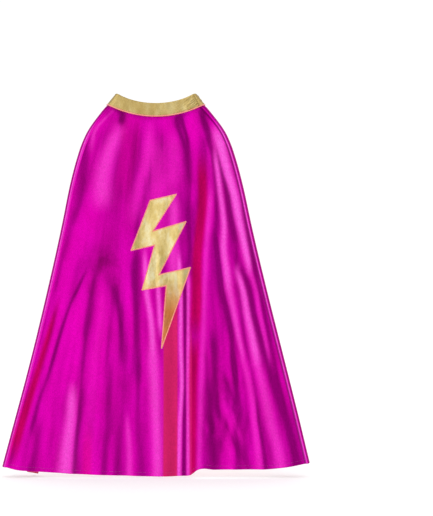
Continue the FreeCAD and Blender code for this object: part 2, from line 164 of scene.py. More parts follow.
# ---------------------------------------------------------------- the folds in the back
# A fold's flank is a stretch of cloth that leans to the left (it catches the light) or to the right (it is
# dark). Each has its lean in degrees, its half width in mm at its top and at its bottom, and the points
# (x, z) in mm that it runs through.
LIGHT = [
    (11, 12, 16, [(-68, -24), (-81, -54), (-95, -100), (-99, -160)]),
    (10, 3, 4, [(-78, 10), (-95, -6), (-110, -24), (-118, -55)]),
    (3, 16, 16, [(-50, -40), (-56, -110), (-62, -180)]),
    (8, 9, 12, [(-10, -20), (-13, -50), (-19, -90), (-31, -131), (-40, -190)]),
    (8, 10, 17, [(32, -40), (34, -62), (35, -90), (30, -130)]),
    (8, 18, 20, [(0, -50), (2, -130), (0, -190), (-6, -240)]),
    (4, 20, 20, [(-118, -130), (-137, -220), (-160, -290)]),
    (6, 7, 7, [(68, -4), (71, -60), (70, -110), (66, -165)]),
    (7, 7, 8, [(97, -60), (101, -110), (101, -170), (95, -220)]),
    (17, 9, 5.5, [(112, -30), (118, -48), (124, -72), (132, -102), (144, -143), (152, -184),
        (161, -225), (172, -280)]),
    (9, 5, 4, [(172, -280), (185, -322), (191, -362), (200, -403), (209, -450)]),
    (15, 4, 6, [(109, -70), (114, -102), (119, -143), (122, -164), (126, -205), (125, -241),
        (130, -282), (134, -312)]),
    (12, 6, 4, [(134, -312), (144, -362), (152, -403), (160, -440)]),
    (9, 5, 7, [(160, -440), (170, -484), (178, -524), (182, -565), (187, -605), (196, -690)]),
    (15, 5, 7, [(150, -285), (161, -322), (168, -362), (177, -403), (186, -450)]),
    (10, 7, 12, [(186, -450), (194, -484), (203, -524), (212, -565), (223, -605), (236, -690)]),
    (16, 3.5, 3.5, [(43, -262), (46, -330), (46, -420), (48, -493), (44.5, -568), (42, -700)]),
    (14, 3, 3, [(60, -290), (60, -420), (60, -500), (60.5, -700)]),
    (9, 5, 5, [(100, -140), (93, -246), (90, -305), (88, -399), (84, -493), (82, -568), (77, -700)]),
    (15, 4, 5, [(-20, -256), (-16, -328), (-8, -380), (-5, -430)]),
    (15, 3.5, 4, [(3, -245), (5, -320), (9, -395)]),
    (12, 9, 9, [(-5, -430), (-3, -470), (0, -531), (3, -606), (4, -700)]),
    (11, 9, 9, [(33, -150), (34, -190), (32, -245), (33, -295)]),
    (5, 12, 12, [(-138, -340), (-145, -380), (-147, -443), (-152, -500)]),
    (14, 7, 14, [(-153, -505), (-157, -565), (-162, -605), (-170, -700)]),
    (7, 7, 14, [(-99, -326), (-99, -362), (-104, -403), (-112, -443), (-116, -500), (-120, -565),
        (-123, -605), (-118, -700)]),
    (3, 7, 7, [(-52, -290), (-49, -340), (-47, -420)]),
    (10, 4, 7, [(-52, -560), (-49, -605), (-49, -700)]),
    (7, 4, 5, [(138, -540), (148, -570), (158, -600)]),
    (7, 4, 5, [(118, -500), (126, -530), (138, -570)]),
    (7, 5, 6, [(132, -590), (136, -630), (140, -700)]),
]
DARK = [
    (8, 8, 12, [(-97, 14), (-127, -39), (-133, -87), (-137, -131), (-148, -190)]),
    (7, 6, 6, [(-151, -180), (-165, -240), (-176, -282), (-187, -330)]),
    (2, 7, 8, [(14, -4), (12, -45), (-3, -87), (-14, -122), (-24, -170)]),
    (5, 6, 6, [(-31, -165), (-33, -200), (-34, -240)]),
    (17, 13, 9, [(42, 16), (44, -12), (54, -46)]),
    (17, 9, 7, [(-62, 24), (-61, 6), (-64, -8)]),
    (7, 5, 4, [(48, -18), (54, -40), (59, -87), (63, -131), (61, -175), (63, -236), (58, -300)]),
    (15, 10, 7, [(82, 24), (89, -8), (98, -36)]),
    (6, 4, 5, [(98, -40), (103, -65), (107, -102), (111, -140), (112, -170), (110, -215)]),
    (12, 5, 5, [(110, -220), (117, -282), (122, -322), (132, -362), (139, -403), (143, -443),
        (149, -490)]),
    (9, 3, 7, [(113, -62), (121, -102), (127, -123), (132, -143), (138, -190), (146, -230)]),
    (4, 3, 3, [(149, -240), (149, -282), (154, -322), (159, -362), (163, -403), (171, -443),
        (179, -484), (186, -530)]),
    (9, 3, 5, [(186, -530), (190, -565), (197, -605), (210, -690)]),
    (10, 7, 6, [(98, 20), (128, -22), (143, -60), (153, -102), (160, -143), (168, -200), (175, -241),
        (187, -300)]),
    (9, 4, 5, [(187, -300), (201, -362), (209, -403), (218, -443), (226, -490), (236, -540)]),
    (9, 6, 11, [(161, -282), (173, -322), (181, -362), (191, -403), (202, -443), (214, -484),
        (228, -524), (246, -575), (258, -625), (268, -690)]),
    (8, 13, 18, [(106, -400), (108, -450), (106, -531), (106, -700)]),
    (6, 9, 13, [(140, -440), (150, -500), (154, -560), (158, -700)]),
    (15, 2.5, 2.5, [(53, -310), (54, -420), (53.5, -531), (51, -700)]),
    (11, 6, 7, [(-112, -292), (-117, -322), (-122, -362), (-128, -403)]),
    (6, 3, 4, [(-128, -403), (-132, -443), (-136, -484), (-140, -540), (-146, -605), (-154, -700)]),
    (6, 8, 11, [(-86, -300), (-81, -322), (-84, -362), (-84, -420), (-86, -500), (-87, -565),
        (-94, -605), (-103, -700)]),
    (8, 4, 5, [(-70, -335), (-66, -372), (-63, -403), (-62, -450)]),
    (7, 10, 20, [(-74, -310), (-66, -345), (-58, -403), (-60, -480), (-64, -560), (-68, -700)]),
    (12, 3, 5, [(-128, -285), (-141, -313), (-155, -342), (-166, -372), (-176, -403), (-188, -443),
        (-201, -484), (-214, -524), (-227, -575)]),
    (7, 7, 8, [(-183, -345), (-196, -403), (-209, -443), (-220, -484), (-238, -549), (-262, -640)]),
    (10, 3, 4, [(-196, -330), (-206, -380), (-230, -474), (-248, -549), (-270, -650)]),
    (8, 14, 20, [(-216, -560), (-226, -610), (-236, -700)]),
    (6, 14, 12, [(-141, -262), (-148, -300), (-154, -335)]),
    (10, 8, 9, [(-36, -252), (-39, -300), (-37, -340), (-35, -400), (-33, -480)]),
    (5, 7, 8, [(-33, -470), (-31, -560), (-29, -605), (-25, -700)]),
    (6, 4, 5, [(124, -470), (134, -500), (146, -530)]),
    (6, 4, 4, [(128, -560), (140, -590), (152, -620)]),
]
FLANK_END = 45  # mm over which a flank fades in and out
FLANK_REACH = 26  # mm beyond which the cloth is back where it was

# A painted reflection: where foil faces foil it would reflect itself, so deep red is painted there: how
# strongly, the line's half width in mm at its top and its bottom, and its points (x, z). The lining's red
# shows in two places where the cloth is pleated.
PAINTED_REFLECTIONS = [
    (1.0, 8, 10, [(84, -60), (86, -110), (86, -160), (81, -210), (77, -250), (75, -338), (71, -420)]),
    (1.0, 9, 4, [(73, -390), (69, -493), (69, -568), (69, -636), (69, -760)]),
    (1.0, 3.5, 9, [(-178, -335), (-193, -390), (-218, -474), (-237, -535), (-255, -596), (-267, -645)]),
    (0.2, 18, 15, [(-46, 16), (-48, -61), (-58, -110), (-64, -175)]),
    (0.4, 8, 9, [(-124, -560), (-126, -621), (-128, -700)]),
]
RASPBERRY = [
    (13, 13, [(31, -306), (28, -345), (27.5, -420), (27.5, -500), (27, -600), (26, -740)]),
    (0.8, 0.8, [(65, -395), (65, -720)]),
]


def along(points, x, z):
    """Distance in mm to the right of a line at each place, and how far inside its two ends, in mm."""
    heights = [p[1] for p in points]
    centre = curve(points, z / MM)
    inside = np.minimum(max(heights) - z / MM, z / MM - min(heights))
    return x / MM - centre, inside


def width_at(points, top, bottom, z):
    """A line's half width in mm, which changes evenly from its top to its bottom."""
    high, low = points[0][1], points[-1][1]
    return top + (bottom - top) * np.clip((high - z / MM) / (high - low), 0, 1)


def flank(lean, top, bottom, points, x, z):
    """Relief in mm of one flank: a rise to the right over its width, let down again either side."""
    off, inside = along(points, x, z)
    half = width_at(points, top, bottom, z)
    reach = np.maximum(FLANK_REACH, 2.5 * half)
    rise = math.tan(math.radians(lean)) * half * np.tanh(off / half)
    return rise * bell(off / reach) * smooth((inside + FLANK_END / 2) / FLANK_END)


def band(x, z, top, bottom, points):
    """1 along a flank's line, fading to 0 at its edges and ends."""
    off, inside = along(points, x, z)
    return bell(off / width_at(points, top, bottom, z)) * smooth((inside + FLANK_END / 2) / FLANK_END)


def waves(x, z, seed, count, longest, shortest, stretch):
    """Crumple from crossing waves, about 1 high. stretch over 1 draws it out down the cloth."""
    rng = np.random.default_rng(seed)
    total = np.zeros(np.broadcast(x, z).shape)
    for _ in range(count):
        length = longest * (shortest / longest) ** rng.random()
        angle, phase = rng.random(2) * 2 * math.pi
        total += np.sin(2 * math.pi * (x * math.cos(angle) + z * math.sin(angle) / stretch) / length + phase)
    return total / math.sqrt(count)


CREASED = (125 * MM, -590 * MM)  # middle of the patch low on the right where the cloth is creased
CREASED_SIZE = (40 * MM, 80 * MM)


def crumple(x, z):
    """Small uneven folds in mm: fine ones that run down the cape, and creases low on the right."""
    across = x / (half_width(z) / half_width(-400 * MM))
    patch = bell((x - CREASED[0]) / CREASED_SIZE[0]) * bell((z - CREASED[1]) / CREASED_SIZE[1])
    low = smooth((-z - 200 * MM) / (300 * MM))
    fine = waves(across, z * 0.10, 5, 30, 30 * MM, 11 * MM, 1.0)
    broad = waves(across, z * 0.16, 8, 18, 80 * MM, 30 * MM, 1.0)
    creases = waves(x, z, 12, 26, 38 * MM, 14 * MM, 1.7)
    return (0.03 + 0.10 * low) * fine + (0.16 + 0.16 * low) * broad + (0.02 + 0.24 * patch) * creases


TUCK, TUCK_HIGH = 0.7, 3 * MM  # the seam draws the cloth in by this much in mm, and this far down
SEAM_FADE = 14 * MM  # over which the folds grow out of the neck seam


def relief(x, z):
    """How far the back stands out from its plane at x, z, in metres."""
    total = crumple(x, z)
    for lean, top, bottom, points in LIGHT:
        total = total + flank(lean, top, bottom, points, x, z)
    for lean, top, bottom, points in DARK:
        total = total + flank(-lean, top, bottom, points, x, z)
    below = seam_height(x) - z
    tuck = TUCK * bell(below / TUCK_HIGH)
    return (total * smooth(below / SEAM_FADE + 0.3) - tuck) * MM


# Patches of the foil that lie in shade: strength, middle x and z, half width and half height, in mm.
SHADE = [
    (0.85, -98, -268, 27, 30), (0.6, -116, -315, 12, 26), (0.5, -72, -315, 13, 34), (0.6, -62, -9, 10, 7),
    (0.45, 120, -505, 30, 34), (0.4, 108, -590, 24, 40), (0.35, -118, -560, 10, 60),
]


def shade_mask(x, z):
    """How deep in shade the foil is, 0 to 1: in those patches, and in the gathers under the collar."""
    below = (seam_height(x) - z) / MM
    ends = bell((np.abs(x) / MM - 92) / 16) * bell((below - 14) / 22)
    shade = 0.55 * bell(below / 7) + 0.5 * ends
    for strength, middle_x, middle_z, wide, tall in SHADE:
        shade = shade + strength * bell((x / MM - middle_x) / wide) * bell((z / MM - middle_z) / tall)
    return np.minimum(shade, 1)


def line_mask(x, z, top, bottom, points, soft, fade=30):
    """1 along a line, 0 beyond its width, with soft edges and faded ends."""
    off, inside = along(points, x, z)
    half = width_at(points, top, bottom, z)
    return smooth((half + soft - np.abs(off)) / (2 * soft)) * smooth((inside + 10) / fade)


# ---------------------------------------------------------------- sheets of cloth
NECK_REACH = 3.5 * MM  # more reach of the side folds where they join the collar


def fold_reach(v):
    """How far a side fold stands out past the flat cloth: more at the neck, but drawn in at its seam."""
    return REACH + NECK_REACH * np.exp(-v / 0.03) - 1.4 * MM * np.exp(-v / 0.004)


def grid_of(x, y, z):
    return np.stack(np.broadcast_arrays(x, y, z), axis=-1)


def front_sheet(side, v):
    """One turned-under front, from its side fold to its edge, with soft ripples down it."""
    share = np.linspace(0, 1, FRONT_COLUMNS)[None, 1:]
    x, z = flat_place(side * (1 - share * FRONT_WIDTH / flat_half(v)), v)
    z = z - FRONT_DROP[side] * share * v**3
    ripple = 1.5 * np.sin(z / (60 * MM) + side) + 1.1 * waves(share * 0.05, z * 0.1, 71, 9, 0.04, 0.012, 1.0)
    return grid_of(x, DEPTH + ripple * MM * smooth(share * 3) * smooth(v * 4), z)


def fold_sheet(side, v):
    """One side fold: a half turn from the back to the front, which leans at the neck as the collar does."""
    lean = CORNER * (1 - v) ** 3
    angle = np.linspace(-math.pi / 2, math.pi / 2, TURN_COLUMNS)[None, 1:]
    x, z = flat_place(np.full_like(v, side), v)
    out = fold_reach(v) * np.cos(angle)
    lift = relief(x, z) * (1 - smooth((angle + math.pi / 2) / (0.7 * math.pi)))
    return grid_of(x + side * out * np.cos(lean), DEPTH * np.sin(angle) - lift, z + out * np.sin(lean))


def full_sheet():
    """The whole cape as one grid of points: rows from neck to hem, columns from the left front's edge, round
    the left side fold, across the back and round the right side fold to the right front's edge."""
    v = np.linspace(0, 1, ROWS)[:, None]
    left, right = (np.concatenate([fold_sheet(side, v), front_sheet(side, v)], axis=1) for side in (-1, 1))
    x, z = flat_place(np.linspace(-1, 1, BACK_COLUMNS)[None, :], v)
    back = grid_of(x, -DEPTH - relief(x, z), z)
    return np.concatenate([left[:, ::-1], back, right], axis=1)


def normals_of(grid):
    """Unit normals of a grid, pointing out of the cape."""
    across = np.gradient(grid, axis=1)
    down = np.gradient(grid, axis=0)
    normal = np.cross(down, across)
    return normal / np.linalg.norm(normal, axis=-1, keepdims=True)


def unit(vectors):
    return vectors / np.linalg.norm(vectors, axis=-1, keepdims=True)


def turned(grid, normal, rows_back):
    """A hem turned to the inside past the grid's last row: more rows of points, and their normals."""
    edge, out = grid[-1], normal[-1]
    off = unit(grid[-1] - grid[-2])
    points, facing = [], []
    for k in range(1, TURN_STEPS + 1):
        angle = math.pi * k / TURN_STEPS
        points.append(edge + TURN_RADIUS * (off * math.sin(angle) - out * (1 - math.cos(angle))))
        facing.append(out * math.cos(angle) + off * math.sin(angle))
    for k in rows_back:
        points.append(grid[-1 - k] - 2 * TURN_RADIUS * normal[-1 - k])
        facing.append(-normal[-1 - k])
    return np.array(points), np.array(facing)


class Sheet:
    """Points, normals and quads of a thin sheet, before it gets its thickness."""

    def __init__(self):
        self.points, self.normals, self.quads, self.count = [], [], [], 0

    def block(self, points, normal):
        """Adds a block of points with their normals, and returns their indices."""
        index = self.count + np.arange(points.shape[0] * points.shape[1]).reshape(points.shape[:2])
        self.points.append(points.reshape(-1, 3))
        self.normals.append(normal.reshape(-1, 3))
        self.count += index.size
        return index

    def face(self, index):
        """Joins a grid of indices with quads."""
        a, b, c, d = index[:-1, :-1], index[1:, :-1], index[1:, 1:], index[:-1, 1:]
        self.quads.append(np.stack([a, b, c, d], axis=-1).reshape(-1, 4))


def closed_sheet(name, points, normal, faces, thick):
    """A closed mesh of that thickness round a sheet, smooth shaded with the sheet's own normals."""
    n = len(points)
    edges = {}
    for face in faces:
        for a, b in zip(face, face[1:] + face[:1]):
            if (b, a) in edges:
                del edges[(b, a)]
            else:
                edges[(a, b)] = True
    inner = [[i + n for i in reversed(face)] for face in faces]
    rim = [[b, a, a + n, b + n] for a, b in edges]
    both = np.concatenate([points + normal * thick / 2, points - normal * thick / 2])
    mesh = bpy.data.meshes.new(name)
    mesh.from_pydata(both.tolist(), [], faces + inner + rim)
    mesh.polygons.foreach_set("use_smooth", [True] * len(mesh.polygons))
    mesh.normals_split_custom_set_from_vertices(np.concatenate([normal, -normal]).tolist())
    return new_object(name, mesh)


def sheet_object(name, sheet, thick):
    faces = np.concatenate(sheet.quads).tolist()
    return closed_sheet(name, np.concatenate(sheet.points), np.concatenate(sheet.normals), faces, thick)


def new_object(name, mesh):
    obj = bpy.data.objects.new(name, mesh)
    bpy.context.scene.collection.objects.link(obj)
    return obj


def paint(obj, name, values):
    """A value for each point of a mesh, for its material to read."""
    attribute = obj.data.attributes.new(name, "FLOAT", "POINT")
    attribute.data.foreach_set("value", np.asarray(values, np.float32).ravel())


def coordinates(obj):
    points = np.zeros(len(obj.data.vertices) * 3)
    obj.data.vertices.foreach_get("co", points)
    return points.reshape(-1, 3)


FULL = full_sheet()
FULL_NORMAL = normals_of(FULL)
FIRST_BACK = TURN_COLUMNS - 1 + FRONT_COLUMNS - 1
SPLIT_COLUMN = FIRST_BACK + int(round((SPLIT + 1) / 2 * (BACK_COLUMNS - 1)))
SIDES = {"left": (0, SPLIT_COLUMN + 1), "right": (SPLIT_COLUMN, FULL.shape[1])}


def cut_area(side):
    """Flat width, length and area of one half of the cape, measured with its folds smoothed out."""
    first, last = SIDES[side]
    piece = FULL[:, first:last].copy()
    back = piece[..., 1] < -DEPTH + MM
    piece[..., 1] = np.where(back, -DEPTH, piece[..., 1])
    across = np.linalg.norm(np.diff(piece, axis=1), axis=-1)
    down = np.linalg.norm(np.diff(piece, axis=0), axis=-1)
    cross = np.cross(np.diff(piece, axis=1)[:-1], np.diff(piece, axis=0)[:, :-1])
    return across.sum(axis=1).max(), down.sum(axis=0).max(), np.linalg.norm(cross, axis=-1).sum()


RIM = 5.8 * MM  # from the outline to the painted highlight line along each side fold
RIM_SOFT = 1.6 * MM
RIM_STRENGTH = 0.9
DULL_LEAN, BRIGHT_LEAN = 6, 17  # degrees: a whitish highlight is painted where the cloth leans most to the light


def painted_highlight_mask(x, z):
    """How strongly a whitish highlight is painted on the foil, from 0 to 1: on the steepest light flanks, and
    along the side folds.
    """
    total = 0
    for lean, top, bottom, line in LIGHT:
        steep = max(lean - DULL_LEAN, 0) / (BRIGHT_LEAN - DULL_LEAN)
        total = total + steep**1.5 * band(x, z, top, bottom, line)
    outline = half_width(z) + side_shift(np.sign(x), z) * np.sign(x)
    rim = RIM_STRENGTH * bell((outline - np.abs(x) - RIM) / RIM_SOFT)
    return np.clip(total + rim, 0, 1)


def paint_shell(obj):
    """Paints the foil's painted highlights, painted reflections, painted shade and the lining's red on the
    outside of the back, for its material to read.
    """
    place = coordinates(obj)
    x, z = place[:, 0], place[:, 2]
    on_back = 1 - smooth((place[:, 1] + 12 * MM) / (4 * MM))
    # painted reflection: deep red lines where foil faces foil
    painted_reflection = [k * line_mask(x, z, top, low, line, 5, 70) for k, top, low, line in PAINTED_REFLECTIONS]
    raspberry = [line_mask(x, z, top, low, line, 1.5) for top, low, line in RASPBERRY]
    paint(obj, "painted_highlight", painted_highlight_mask(x, z) * on_back)
    paint(obj, "painted_reflection", np.max(painted_reflection, axis=0) * on_back)
    paint(obj, "shade", shade_mask(x, z) * on_back)
    paint(obj, "raspberry", np.max(raspberry, axis=0) * on_back)


def make_shell(side):
    """One half of the outer cloth, with its hem and its front edge turned to the inside."""
    first, last = SIDES[side]
    grid, normal = FULL[:, first:last], FULL_NORMAL[:, first:last]
    grid = grid - normal * SHELL / 2
    sheet = Sheet()
    main = sheet.block(grid, normal)
    sheet.face(main)
    hem, hem_normal = turned(grid, normal, (1, 2, 3))
    sheet.face(np.concatenate([main[-1:], sheet.block(hem, hem_normal)]))
    way = -1 if side == "left" else 1  # the order of columns that ends at the front's edge
    edge = turned(grid[:, ::way].transpose(1, 0, 2), normal[:, ::way].transpose(1, 0, 2), (2, 4))
    strip = np.concatenate([main[:, ::way][:, -1][None], sheet.block(*edge)])
    sheet.face(strip.T[:, ::way])
    obj = sheet_object(f"shell_{side}", sheet, SHELL)
    paint_shell(obj)
    return obj


PEEK = 36 * MM  # from the left side's edge to where the front's lining hangs below the hem
PEEK_DROP = 8.5 * MM


def make_lining(side):
    """One half of the lining. It stops inside the turned hem, but hangs a little below the left front's."""
    first, last = SIDES[side]
    grid = (FULL - FULL_NORMAL * (SHELL / 2 + LINING_GAP))[:, first:last]
    normal = FULL_NORMAL[:, first:last]
    rows = np.unique(np.linspace(1, ROWS - 2, 110).astype(int))
    columns = np.unique(np.append(np.arange(0, grid.shape[1], 2), grid.shape[1] - 1))
    grid, normal = grid[rows][:, columns].copy(), normal[rows][:, columns]
    if side == "left":
        hem = grid[-1]
        inward = hem[:, 0] - hem[:, 0].min()
        share = smooth((inward - PEEK) / (4 * MM)) * (hem[:, 1] > 0)
        grid[-6:, :, 2] -= PEEK_DROP * share * np.linspace(0, 1, 6)[:, None]
    sheet = Sheet()
    sheet.face(sheet.block(grid, normal))
    return sheet_object(f"lining_{side}", sheet, LINING)


# ---------------------------------------------------------------- materials
class Nodes:
    """The node tree of a material or of the world, with short ways to add to it."""

    def __init__(self, owner):
        owner.use_nodes = True
        self.owner = owner
        self.tree = owner.node_tree
        self.coordinates = self.add("ShaderNodeTexCoord").outputs
        self.place = self.coordinates["Object"]

    def add(self, kind, inputs=None, **settings):
        """Adds a node with these settings; inputs gives its sockets' values, or outputs to link to them."""
        node = self.tree.nodes.new(kind)
        for key, value in settings.items():
            setattr(node, key, value)
        for key, value in (inputs or {}).items():
            self.put(node.inputs[key], value)
        return node

    def put(self, socket, value):
        """Sets a socket to a number or colour, or links an output to it."""
        if isinstance(value, bpy.types.NodeSocket):
            self.tree.links.new(value, socket)
        else:
            socket.default_value = value

    def noise(self, scale, detail=3.0, roughness=0.55, stretch=(1, 1, 1)):
        """Noise over the object's own coordinates, which stretch multiplies along x, y and z."""
        place = self.add("ShaderNodeMapping", {"Vector": self.place, "Scale": stretch}).outputs["Vector"]
        inputs = {"Vector": place, "Scale": scale, "Detail": detail, "Roughness": roughness}
        return self.add("ShaderNodeTexNoise", inputs).outputs["Fac"]

    def cells(self, scale, warp=0.0):
        """Distance to the edges of a network of cells, which warp bends."""
        place = self.mix(warp, self.place, self.noise(scale * 0.6), "ADD") if warp else self.place
        node = self.add("ShaderNodeTexVoronoi", {"Vector": place, "Scale": scale}, feature="DISTANCE_TO_EDGE")
        return node.outputs["Distance"]

    def ramp(self, value, *stops):
        """A colour ramp, whose stops are pairs of a place and a colour or grey."""
        node = self.add("ShaderNodeValToRGB", {"Fac": value})
        elements = node.color_ramp.elements
        while len(elements) < len(stops):
            elements.new(0.5)
        for element, (place, tone) in zip(elements, stops):
            element.position = place
            element.color = tone if hasattr(tone, "__len__") else (tone, tone, tone, 1)
        return node.outputs["Color"]

    def mix(self, factor, first, second, blend="MIX"):
        inputs = {"Fac": factor, "Color1": first, "Color2": second}
        return self.add("ShaderNodeMixRGB", inputs, blend_type=blend).outputs["Color"]

    def maths(self, operation, first, second=0.5):
        return self.add("ShaderNodeMath", {0: first, 1: second}, operation=operation).outputs["Value"]

    def painted(self, name):
        return self.add("ShaderNodeAttribute", attribute_name=name).outputs["Fac"]

    def bump(self, height, distance, strength=1.0, below=None):
        """A normal bumped by a height, over the normal below it."""
        inputs = {"Height": height, "Distance": distance, "Strength": strength}
        if below is not None:
            inputs["Normal"] = below
        return self.add("ShaderNodeBump", inputs).outputs["Normal"]

    def finish(self, **sockets):
        """Sets the material's shader, and returns the material."""
        shader = self.tree.nodes["Principled BSDF"]
        for name, value in sockets.items():
            self.put(shader.inputs[name.replace("_", " ")], value)
        return self.owner


def material_nodes(name):
    return Nodes(bpy.data.materials.new(name))


def rgb(red, green, blue):
    """A colour from its 0 to 255 screen values, as linear light."""
    tones = [c / 255 for c in (red, green, blue)]
    return tuple([t / 12.92 if t <= 0.04045 else ((t + 0.055) / 1.055) ** 2.4 for t in tones] + [1.0])


def foil_material():
    """Magenta foil printed on a fine knit: a metal, with painted highlights, painted shade and a painted deep
    red reflection where it faces itself.
    """
    m = material_nodes("magenta_foil")
    mottle = m.noise(26, 4, 0.6, (1, 1, 0.45))
    colour = m.ramp(mottle, (0.30, rgb(222, 0, 172)), (0.52, rgb(232, 0, 184)), (0.75, rgb(238, 0, 194)))
    speckle = m.ramp(m.noise(520, 3, 0.7, (1, 1, 0.6)), (0.36, 0.55), (0.64, 1.0))
    # painted highlight: whitish pink laid over the foil where it leans to the light, broken up by speckle
    colour = m.mix(m.maths("MULTIPLY", m.painted("painted_highlight"), speckle), colour, rgb(252, 102, 226))
    # painted reflection: deep red where foil faces foil
    colour = m.mix(m.painted("painted_reflection"), colour, rgb(220, 0, 108))
    colour = m.mix(m.painted("raspberry"), colour, rgb(222, 34, 106))
    patchy = m.ramp(m.noise(55, 3, 0.6, (1, 1, 0.6)), (0.34, 0.5), (0.6, 1.0))
    colour = m.mix(m.maths("MULTIPLY", m.painted("shade"), patchy), colour, rgb(140, 0, 100))
    knit = m.noise(1300, 2, 0.5, (1, 1, 0.5))
    soft = m.noise(120, 4, 0.6, (1, 1, 0.35))
    grain = m.ramp(m.noise(420, 3, 0.65, (1, 1, 0.7)), (0.34, 0.8), (0.66, 1.0))
    colour = m.mix(0.9, colour, grain, "MULTIPLY")
    normal = m.bump(soft, 0.5 * MM, 0.22)
    normal = m.bump(knit, 0.05 * MM, 0.3, normal)
    rough = m.ramp(m.noise(60, 3), (0.3, 0.13), (0.7, 0.2))
    satin = m.painted("raspberry")
    metal = m.maths("SUBTRACT", 0.95, m.maths("MULTIPLY", satin, 0.6))
    return m.finish(Base_Color=colour, Metallic=metal, Roughness=rough, Normal=normal, Coat_Weight=0.03,
                    Coat_Roughness=0.3, Specular_Tint=rgb(245, 70, 205))


def satin_material(name, dark, light, metal=0.0):
    """Plain satin, woven fine across and down."""
    m = material_nodes(name)
    colour = m.ramp(m.noise(45, 2), (0.2, dark), (0.8, light))
    across = m.noise(900, 1, 0.4, (0.12, 1, 2.4))
    down = m.noise(900, 1, 0.4, (2.4, 1, 0.12))
    normal = m.bump(m.maths("ADD", across, down), 0.08 * MM, 0.5)
    rough = m.ramp(m.noise(40, 2), (0.3, 0.34), (0.7, 0.44))
    return m.finish(Base_Color=colour, Metallic=metal, Roughness=rough, Normal=normal, Sheen_Weight=0.25)


RED_REFLECTION_TOP, RED_REFLECTION_FULL = -300 * MM, -360 * MM  # heights where the bolt's painted reflection of the red starts and is full


def gold_material(name, dark, mid, light, crackle, painted_red_reflection=None):
    """Gold-coated cloth with a fine crackle and small creases. A last colour, when given, tints its lower end
    orange as a painted reflection of the red near it.
    """
    m = material_nodes(name)
    tone = m.ramp(m.noise(48, 4, 0.65, (1, 1, 0.6)), (0.3, dark), (0.5, mid), (0.7, light))
    crack = m.ramp(m.cells(260, warp=0.02), (0.0, 0.55), (0.08, 1.0))
    colour = m.mix(crackle, tone, crack, "MULTIPLY")
    # painted reflection: the lower end tinted orange, towards the red beside it
    if painted_red_reflection:
        height = m.add("ShaderNodeSeparateXYZ", {0: m.place}).outputs["Z"]
        inputs = {"Value": height, "From Min": RED_REFLECTION_TOP, "From Max": RED_REFLECTION_FULL}
        lower = m.add("ShaderNodeMapRange", inputs).outputs["Result"]
        colour = m.mix(m.maths("MULTIPLY", lower, 0.85), colour, painted_red_reflection)
    creases = m.noise(85, 4, 0.6, (1, 1, 0.6))
    normal = m.bump(creases, 0.8 * MM, 0.36)
    normal = m.bump(m.cells(380), 0.10 * MM, 0.3, normal)
    rough = m.ramp(m.noise(160, 3), (0.3, 0.30), (0.7, 0.42))
    return m.finish(Base_Color=colour, Metallic=0.82, Roughness=rough, Normal=normal)


def thread_material(name, dark, light):
    """Shiny sewing thread, with the twist of its strands."""
    m = material_nodes(name)
    colour = m.ramp(m.noise(300, 2), (0.35, dark), (0.65, light))
    inputs = {"Vector": m.place, "Scale": 900}
    twist = m.add("ShaderNodeTexWave", inputs, wave_type="BANDS", bands_direction="DIAGONAL")
    normal = m.bump(twist.outputs["Fac"], 0.08 * MM, 0.6)
    return m.finish(Base_Color=colour, Roughness=0.42, Normal=normal, Sheen_Weight=0.4)


def felt_material(name, dark, light, scale):
    """A matt mat of short fibres."""
    m = material_nodes(name)
    fibre = m.noise(scale, 5, 0.75)
    colour = m.ramp(fibre, (0.3, dark), (0.7, light))
    return m.finish(Base_Color=colour, Roughness=0.9, Normal=m.bump(fibre, 0.3 * MM, 0.8), Sheen_Weight=0.3)


FOIL = foil_material()
SATIN = satin_material("raspberry_satin", rgb(205, 38, 82), rgb(232, 74, 112))
GOLD = gold_material("collar_gold_cloth", rgb(198, 168, 98), rgb(212, 185, 115), rgb(230, 209, 145), 0.2)
# the bolt's last colour is an orange painted reflection of the red near its lower end
BOLT_GOLD = gold_material("bolt_gold_cloth", rgb(216, 186, 104), rgb(242, 216, 144), rgb(255, 246, 202), 0.3,
                          rgb(222, 118, 58))
PIPING = satin_material("coral_piping", rgb(236, 118, 122), rgb(252, 164, 142))
PEACH = thread_material("peach_thread", rgb(238, 128, 110), rgb(250, 164, 134))
PINK_THREAD = thread_material("magenta_thread", rgb(124, 0, 96), rgb(150, 0, 116))
GOLD_THREAD = thread_material("gold_thread", rgb(176, 146, 70), rgb(214, 186, 110))
LOOPS = felt_material("loop_pile", rgb(206, 202, 194), rgb(236, 232, 226), 1400)
HOOKS = felt_material("hook_plastic", rgb(188, 184, 176), rgb(222, 218, 210), 1800)
WEB = felt_material("bond_web", rgb(226, 222, 214), rgb(246, 244, 240), 700)
COTTON = satin_material("label_cotton", rgb(226, 224, 218), rgb(246, 245, 241))


def dress(obj, material):
    """Gives a piece its material."""
    obj.data.materials.clear()
    obj.data.materials.append(material)
    return obj


HALVES = ((-1, "left", "left_front"), (1, "right", "right_front"))


# ---------------------------------------------------------------- the cape's cloth
def cape_cloth():
    """The shell and the lining, each in two halves that run from the back round a side fold to the front."""
    for _, side, body in HALVES:
        wide, long, area = cut_area(side)
        for layer, make, material, slot in (
            ("shell", make_shell, FOIL, "shell_foil"),
            ("lining", make_lining, SATIN, "lining_satin"),
        ):
            obj = dress(make(side), material)
            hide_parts(f"{layer}_back", f"{layer}_fold_{side}", f"{layer}_front_{side}")
            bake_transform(obj)


cape_cloth()

# ---------------------------------------------------------------- the neck: collar and piping
COLLAR_CLOTH = 0.7 * MM
COLLAR_THICK = 2.4 * MM
END_SOFT = 1.2 * MM  # over which the collar's front ends are closed
FRONT_END = {-1: 2.5 * MM, 1: 1.5 * MM}  # from the middle of the front to the collar's left and right ends


